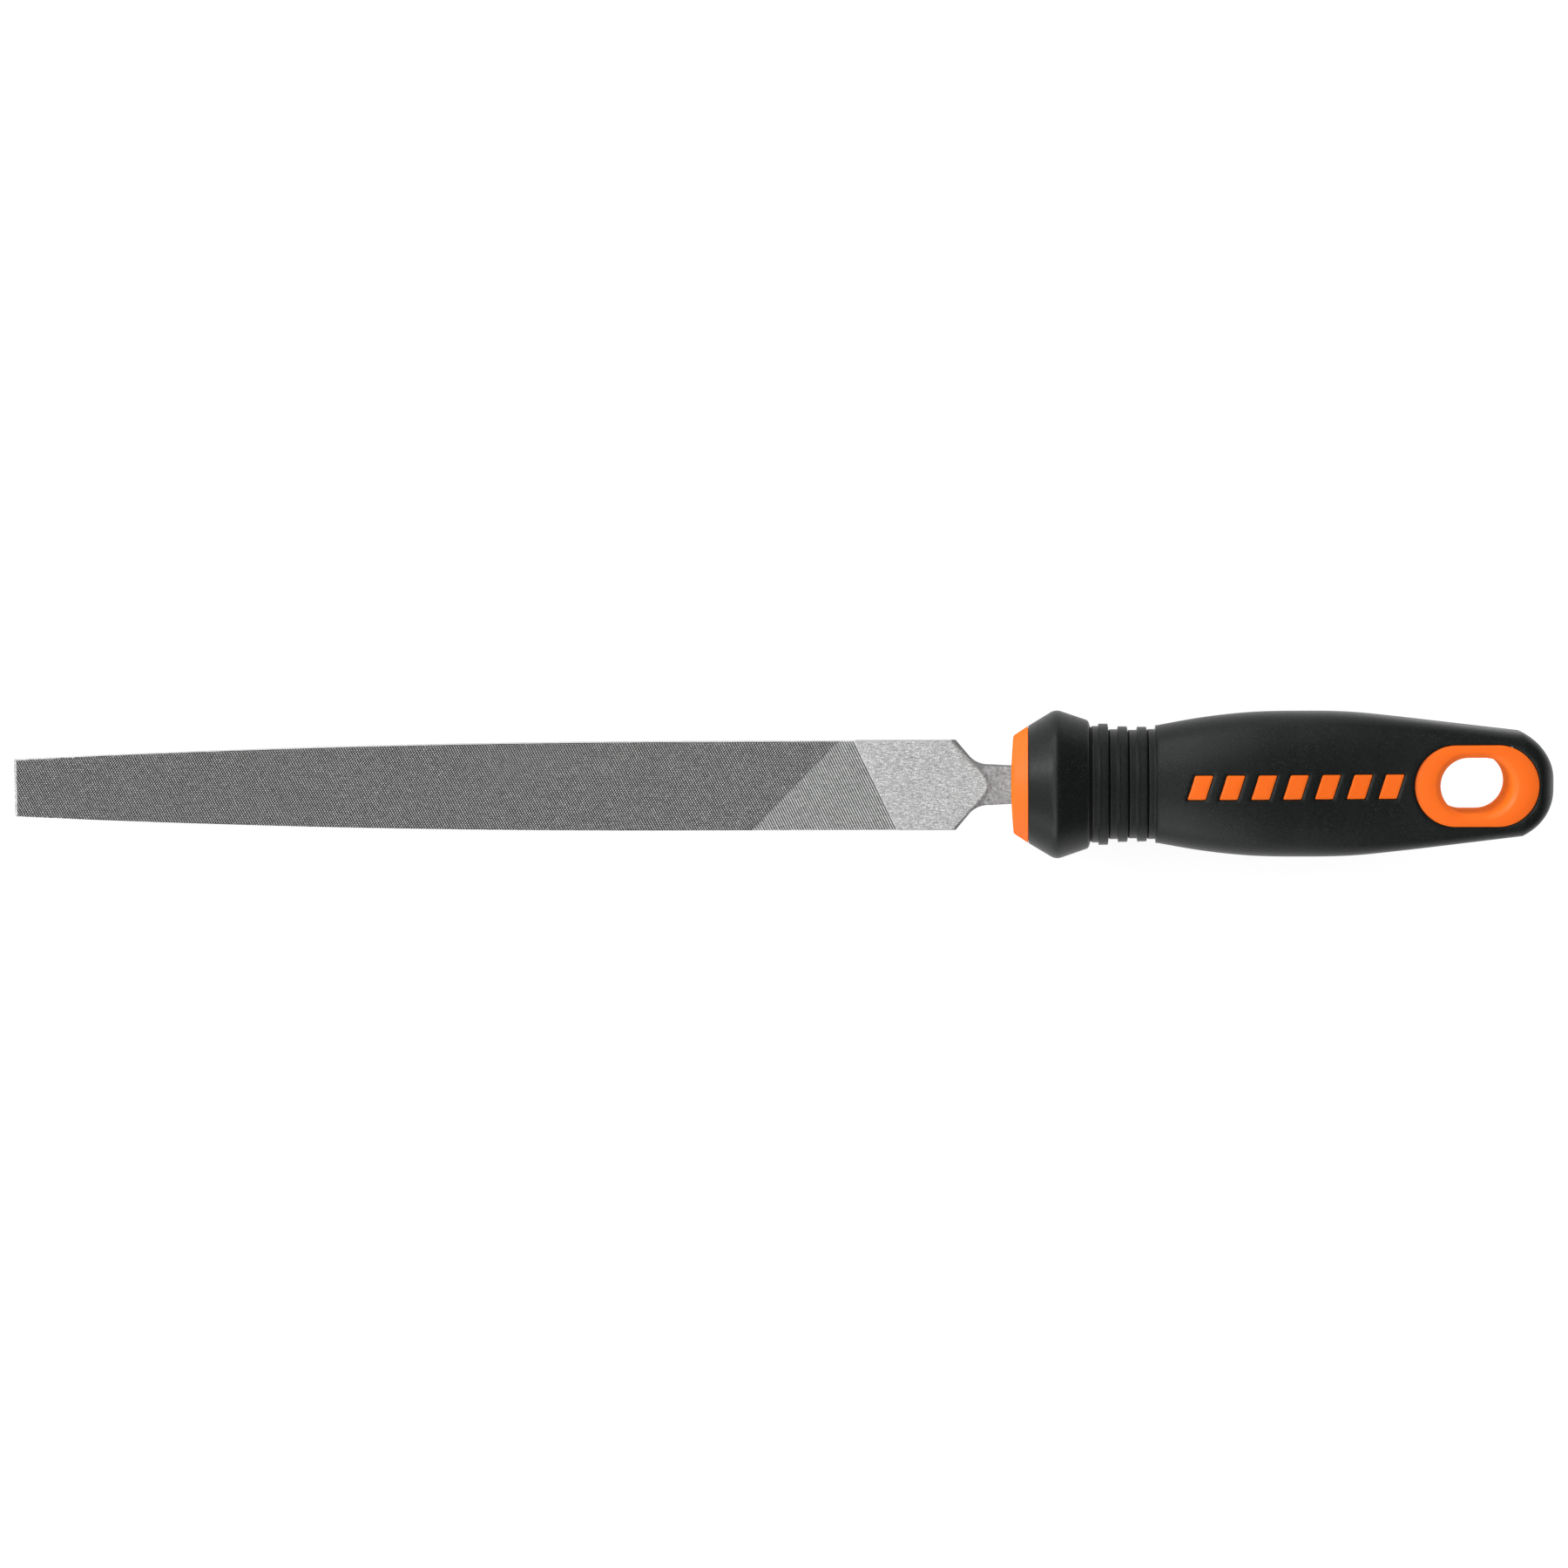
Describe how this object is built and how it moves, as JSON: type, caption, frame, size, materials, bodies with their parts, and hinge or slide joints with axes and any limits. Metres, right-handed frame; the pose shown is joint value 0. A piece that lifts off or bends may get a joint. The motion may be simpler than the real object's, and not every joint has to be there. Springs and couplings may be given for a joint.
{
  "type": "flat file",
  "caption": "Flat hand file: a tapered steel blade and tang in a moulded handle with a soft grip, ribbed neck and hanging eye.",
  "frame": {"origin": "centre of the whole tool's bounding box, on the tool's axis", "axes": "+X along the tool from the tip to the handle's tail, +Y across the width, +Z through the thickness, out of the face that carries the raised marks"},
  "size_m": [0.3292, 0.0316, 0.031],
  "materials": {
    "file_steel": "ground along its length, with cut teeth",
    "orange_plastic": "smooth satin moulding",
    "black_grip": "soft matt over-mould with a slight sheen"
  },
  "bodies": {
    "root": {"file_blade": "file_steel", "handle_core": "orange_plastic", "grip_sleeve": "black_grip"}
  },
  "joints": []
}
